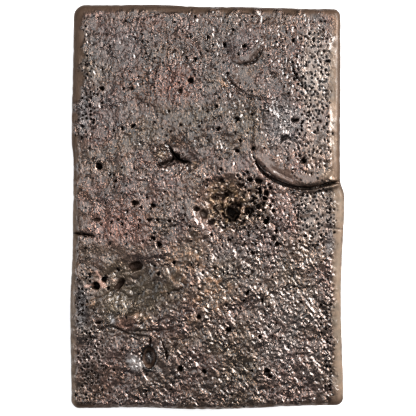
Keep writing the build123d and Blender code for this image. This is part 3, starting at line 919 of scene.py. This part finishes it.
def put(value, socket):
    """Feeds a socket from another socket, or sets it to a number, a vector or a colour of three numbers."""
    if isinstance(value, bpy.types.NodeSocket):
        tree.links.new(value, socket)
    elif socket.type == "RGBA":
        socket.default_value = (*value, 1)
    else:
        socket.default_value = value


def node(kind, inputs, **settings):
    """A new node of the tree with those settings, each of its inputs fed by name or by number."""
    made = tree.nodes.new(kind)
    for name, value in settings.items():
        setattr(made, name, value)
    for name, value in inputs.items():
        put(value, made.inputs[name])
    return made


def mark_value(name):
    return node("ShaderNodeAttribute", {}, attribute_name=name).outputs["Fac"]


def blend_colour(share, first, second, kind="MIX"):
    """Mixes two colours by a share. All three may be sockets."""
    inputs = {0: share, 6: first, 7: second}
    return node("ShaderNodeMix", inputs, data_type="RGBA", blend_type=kind).outputs[2]


def maths(kind, first, second, clamp=False):
    return node("ShaderNodeMath", {0: first, 1: second}, operation=kind, use_clamp=clamp).outputs[0]


def plus(first, second, clamp=False):
    return maths("ADD", first, second, clamp)


def minus(first, second, clamp=False):
    return maths("SUBTRACT", first, second, clamp)


def times(first, second, clamp=False):
    return maths("MULTIPLY", first, second, clamp)


def highest_of(first, *others):
    """The highest of several numbers or sockets."""
    for other in others:
        first = maths("MAXIMUM", first, other)
    return first


def marked(name, share):
    """The mark of that name, times a share."""
    return times(mark_value(name), share)


own_space = node("ShaderNodeTexCoord", {}).outputs["Object"]


def noise_value(scale, detail, roughness=0.55, start=0.35, end=0.65):
    """Noise in the object's own space, stretched so that it runs from 0 to 1."""
    inputs = {"Vector": own_space, "Scale": scale, "Detail": detail, "Roughness": roughness}
    made = node("ShaderNodeTexNoise", inputs).outputs["Fac"]
    return node("ShaderNodeMapRange", {"Value": made, "From Min": start, "From Max": end}).outputs["Result"]


# %% [markdown]
# ### Grain and pinholes
#
# The smallest wrinkles are worm-like ridges again, this time as bump. They run with the larger ones, so
# there are two sets, mixed by the mark for the lower part of the face.

# %% Fine ridges
not_rim = minus(1.0, marked("rim", 0.85))


def worms(turn, scale, seed_shift):
    """Fine worm-like ridges, stretched along one direction of the face, from 0 to 1."""
    turned_space = node("ShaderNodeMapping", {
        "Vector": own_space, "Location": (seed_shift, 0, 0), "Rotation": (0, 0, math.radians(turn)),
        "Scale": (1.0, 0.55, 1.0),
    }).outputs["Vector"]
    inputs = {"Vector": turned_space, "Scale": scale, "Detail": 1.5, "Distortion": 1.1}
    made = node("ShaderNodeTexNoise", inputs)
    folded = maths("ABSOLUTE", minus(made.outputs["Fac"], 0.5), 0.0)
    return minus(1.0, times(folded, 5.0), True)


two_sets = {0: mark_value("lower"), 2: worms(12, 620, 0.3), 3: worms(-34, 560, 0.7)}
worm_mix = node("ShaderNodeMix", two_sets, data_type="FLOAT")
sand = noise_value(1500, 2, 0.6, 0.2, 0.8)
fine_height = plus(times(worm_mix.outputs[0], 0.75), times(sand, 0.45))
stronger_above = minus(1.8, marked("lower", 0.75))
bumps = times(fine_height, stronger_above)
# dimples: the valleys of the fine ridges, which get painted shade
dimples = times(minus(0.55, bumps, True), not_rim)
print("fine ridges made")

# %% [markdown]
# Pinholes sit in the cells of a Voronoi pattern. Each cell has random numbers of its own, which decide
# whether it holds a pinhole and how wide that is. In the porous fields most cells have one, with a thin
# pale wall round it.

# %% Pinholes
cells_per_metre = 660
cell_inputs = {"Vector": own_space, "Scale": cells_per_metre}
cells = node("ShaderNodeTexVoronoi", cell_inputs, voronoi_dimensions="2D")
chance = node("ShaderNodeSeparateColor", {"Color": cells.outputs["Color"]})
from_middle = cells.outputs["Distance"]
porous = mark_value("porous")
present = maths("LESS_THAN", chance.outputs["Red"], plus(times(porous, 0.75), 0.05))
pore_size = plus(times(chance.outputs["Green"], 0.20), 0.24)
inside_pore = minus(1.0, maths("DIVIDE", from_middle, pore_size), True)
pores = times(times(times(inside_pore, 4.0, True), present), not_rim)
near_pore = maths("LESS_THAN", from_middle, times(pore_size, 1.45))
pore_walls = times(times(near_pore, present), times(porous, not_rim))
calmer = times(not_rim, minus(1.0, times(porous, 0.4)))
height = minus(times(bumps, calmer), times(pores, 2.0))
print("pinholes made")

# %% [markdown]
# ### The colours of the oxide
#
# Old copper has many browns. They are named here together with the colours of the painted shade and the
# painted highlights, as red, green and blue on Blender's linear scale.

# %% Oxide colours and the colours of painted shade and highlight
brown = (0.235, 0.140, 0.098)
grey = (0.275, 0.215, 0.185)
violet = (0.270, 0.172, 0.158)
olive_brown = (0.150, 0.118, 0.066)
slate = (0.215, 0.235, 0.255)
raw_copper = (0.560, 0.420, 0.345)
# silvery: the painted sheen of the bright mark, and the pale tint of the pore walls
silvery = (0.480, 0.445, 0.425)
# whitish oxide, and a painted highlight in the largest pale patch
pale_oxide_and_highlight = (0.72, 0.74, 0.76)
fresh_copper = (0.92, 0.60, 0.48)
# painted shade: the black inside holes, cracks and deep hollows
pit_shade_black = (0.016, 0.011, 0.009)
rim_brown = (0.262, 0.187, 0.136)
umber = (0.130, 0.100, 0.078)
drab = (0.190, 0.160, 0.100)
mauve = (0.225, 0.180, 0.180)
salmon = (0.350, 0.182, 0.142)
honey = (0.300, 0.205, 0.115)
rolled_brown = (0.31, 0.205, 0.155)
dark_brown = (0.075, 0.058, 0.045)
shade = (0.72, 0.72, 0.73)
wall_tan = (0.50, 0.41, 0.34)
light_tan, dark_tan = (0.60, 0.46, 0.335), (0.38, 0.32, 0.24)
bright_gold = (0.60, 0.34, 0.18)
crystal = (0.60, 0.43, 0.26)
# painted shade, multiplied over the creases and the valleys of the fine ridges
crease_shade = (0.30, 0.24, 0.20)
earth_brown = (0.085, 0.050, 0.034)
# eye_black is the painted shade of the blister's outline and middle
eye_brown, eye_black = (0.330, 0.220, 0.160), (0.018, 0.013, 0.010)
tarnish = (0.60, 0.55, 0.525)  # dulls all of it
print("oxide colours named")

# %% [markdown]
# Each line lays one more colour over the ones before, as strongly as its mark or noise says. First come the
# browns that lie everywhere, then the patches that have a place of their own, some of them painted shade
# and painted highlight, then the bright metal on worn edges, and last the painted shade in the creases and
# the painted black shade of the holes.

# %% Laying the colours
broken_pale = times(mark_value("pale"), plus(noise_value(500, 2), 0.25, True))
# tan: painted highlight on the right rim and the lap's right end, and tan oxide on the left edge
tan = blend_colour(noise_value(260, 3, 0.6, 0.4, 0.65), light_tan, dark_tan)
speckle = noise_value(420, 2, 0.6, 0.52, 0.66)
gold_flecks = times(mark_value("gold"), speckle)
# crevice: how much painted shade darkens the creases and the fine valleys
crevice = plus(marked("crevice", 0.8), times(dimples, 1.2), True)
# in_hole: painted shade that makes holes, pinholes and deep hollows almost black
in_hole = highest_of(mark_value("deep"), pores)
hole_colour = blend_colour(mark_value("earth"), pit_shade_black, earth_brown)
colour = blend_colour(noise_value(70, 3), brown, grey)
for share, tint, *kind in (  # how strongly, which colour, and how it is mixed if not laid over
    (times(noise_value(160, 2), 0.6), violet),
    (times(noise_value(115, 3, 0.6, 0.5, 0.7), 0.55), umber),
    (times(noise_value(47, 2, 0.5, 0.42, 0.68), 0.6), drab),
    (marked("cool", 0.65), mauve),
    (marked("pink", 0.85), salmon),
    (marked("olive", 0.75), olive_brown),
    (marked("blue", 0.6), slate),
    (times(mark_value("bright"), noise_value(260, 2)), silvery),
    (broken_pale, pale_oxide_and_highlight),
    (marked("gold", 0.5), honey),
    (marked("rolled", 0.7), rolled_brown),
    (marked("rim", 0.85), rim_brown),
    (marked("dark", 0.5), dark_brown),
    (mark_value("shaded"), shade, "MULTIPLY"),
    (marked("pore_walls", 0.8), wall_tan),
    (marked("tan", 0.85), tan),
    (gold_flecks, bright_gold),
    (times(mark_value("worn"), plus(speckle, 0.12, True)), raw_copper),
    (times(pore_walls, 0.45), silvery),
    (marked("shard", 0.95), crystal),
    (marked("copper_star", 0.9), fresh_copper),
    (crevice, crease_shade, "MULTIPLY"),
    (in_hole, hole_colour),
    (marked("eye_tan", 0.9), eye_brown),
    (marked("eye_dark", 0.9), eye_black),
    (1.0, tarnish, "MULTIPLY"),
):
    colour = blend_colour(share, colour, tint, *kind)
print("colours laid with", len(tree.nodes), "nodes so far")

# %% [markdown]
# ### Shine
#
# Bare copper mirrors what is around it and thick oxide doesn't, so the share of metal drops where a mark
# says that something matte lies on it. The roughness wanders with slow noise and is higher in the holes, on
# the rim and on the rolled bands. A thin coat gives the whitish glints that oxide adds to the warm ones of
# the metal. It is left off the rim and the holes and is weak on the olive patches.

# %% Shader
matte_shares = {
    "copper_star": 1.0, "pale": 0.6, "pore_walls": 0.6, "olive": 0.5, "eye_tan": 0.9, "earth": 0.6,
    "tan": 0.8, "rolled": 0.5, "shard": 0.7,
}
matte = highest_of(*(marked(name, share) for name, share in matte_shares.items()), times(gold_flecks, 0.8))
least, wandering, dulled = 0.19, 0.26, 0.34  # roughness everywhere, what the noise adds, and the marks
gloss = plus(times(noise_value(210, 3), wandering), least)
unpolished = highest_of(*(mark_value(name) for name in ("deep", "rim", "tan", "rolled")))
coat_strength = 0.75
bare = minus(1.0, highest_of(in_hole, mark_value("earth")), True)
dull = minus(1.0, marked("olive", 0.6))
bump_height = 0.19 * mm
grain = node("ShaderNodeBump", {"Strength": 1.0, "Distance": bump_height, "Height": height})
shader = node("ShaderNodeBsdfPrincipled", {
    "Base Color": colour,
    "Metallic": minus(1.0, matte, True),
    "Roughness": plus(gloss, times(unpolished, dulled), True),
    "Coat Weight": times(times(not_rim, dull), times(bare, coat_strength)),
    "Coat IOR": 1.85,
    "Coat Roughness": 0.20,
    "Normal": grain.outputs["Normal"],
})
node("ShaderNodeOutputMaterial", {"Surface": shader.outputs["BSDF"]})
mesh.materials.clear()
mesh.materials.append(copper)
print("material with", len(tree.nodes), "nodes")

# %% [markdown]
# ## Floor, light and camera
#
# The ingot lies on a plain white table and is seen from straight above. A large soft lamp stands low at
# the right, so the wrinkles throw their glints to that side and their shadows to the left. A weaker one
# hangs overhead. The floor looks white to the camera and still takes the shadow.

# %% Floor
floor_size = 8  # metres
bpy.ops.mesh.primitive_plane_add(size=floor_size, location=(0, 0, low.z))
floor = bpy.context.object
floor.name = "floor"
table_paint = bpy.data.materials.new("white_table")
table_paint.use_nodes = True
tree = table_paint.node_tree
paint = tree.nodes["Principled BSDF"]
own_glow = 0.75  # what the camera sees on top of the lamplight
ray = node("ShaderNodeLightPath", {})
floor_inputs = {
    "Base Color": (0.9, 0.9, 0.9), "Roughness": 0.9, "Emission Color": (1, 1, 1),
    "Emission Strength": times(ray.outputs["Is Camera Ray"], own_glow),
}
for name, value in floor_inputs.items():
    put(value, paint.inputs[name])
floor.data.materials.append(table_paint)
print("floor", floor.dimensions.x, "m wide")

# %% [markdown]
# The lamps are square and soft. The window is the main one. The other two only open up the shadows. A dim
# grey world stands for the rest of the room, as copper needs something to mirror.

# %% Light
world = bpy.data.worlds.new("studio")
bpy.context.scene.world = world
world.use_nodes = True
background = world.node_tree.nodes["Background"]
background.inputs["Color"].default_value = (0.105, 0.107, 0.114, 1)
background.inputs["Strength"].default_value = 1.0
table_centre = (0, 0, high.z)


def lamp(name, turn, height, distance, size, power, tint=(1, 1, 1)):
    """A square soft lamp that looks at the ingot. Turn is in degrees, from the right towards the head."""
    light = bpy.data.lights.new(name, "AREA")
    light.size = size
    light.energy = power
    light.color = tint
    made = bpy.data.objects.new(name, light)
    side_angle, up_angle = math.radians(turn), math.radians(height)
    level = math.cos(up_angle)
    away = (math.cos(side_angle) * level, math.sin(side_angle) * level, math.sin(up_angle))
    made.location = [c + distance * d for c, d in zip(table_centre, away)]
    made.rotation_euler = Vector(away).to_track_quat("Z", "Y").to_euler()
    bpy.context.scene.collection.objects.link(made)
    return made


lamp("window", 26, 42, 1.3, 0.65, 24, (1.0, 0.975, 0.955))
lamp("overhead", 90, 80, 1.0, 0.45, 1.5)
lamp("left_fill", 185, 35, 0.9, 0.4, 1.6, (0.95, 0.97, 1.0))
print("three lamps and a dim room")

# %% [markdown]
# The camera looks straight down through a long lens, as in the photo. Its height follows from how many
# millimetres of the casting fall on one pixel.

# %% Camera
pixels = 416
mm_per_pixel = 0.3753
# the photo was taken a touch to the right of and below the middle
off_centre = (0.26 * mm, -0.375 * mm)
rim_level = high.z - 3 * mm
lens = 85
camera = bpy.data.cameras.new("camera")
camera.lens = lens
camera.sensor_width = 36
camera.clip_start = 0.01
eye = bpy.data.objects.new("camera", camera)
rise = pixels * mm_per_pixel * mm * lens / camera.sensor_width
eye.location = (off_centre[0], off_centre[1], rim_level + rise)
bpy.context.scene.collection.objects.link(eye)
bpy.context.scene.camera = eye
bpy.context.scene.view_settings.view_transform = "Standard"
print("camera", round(rise, 3), "m above the rim")
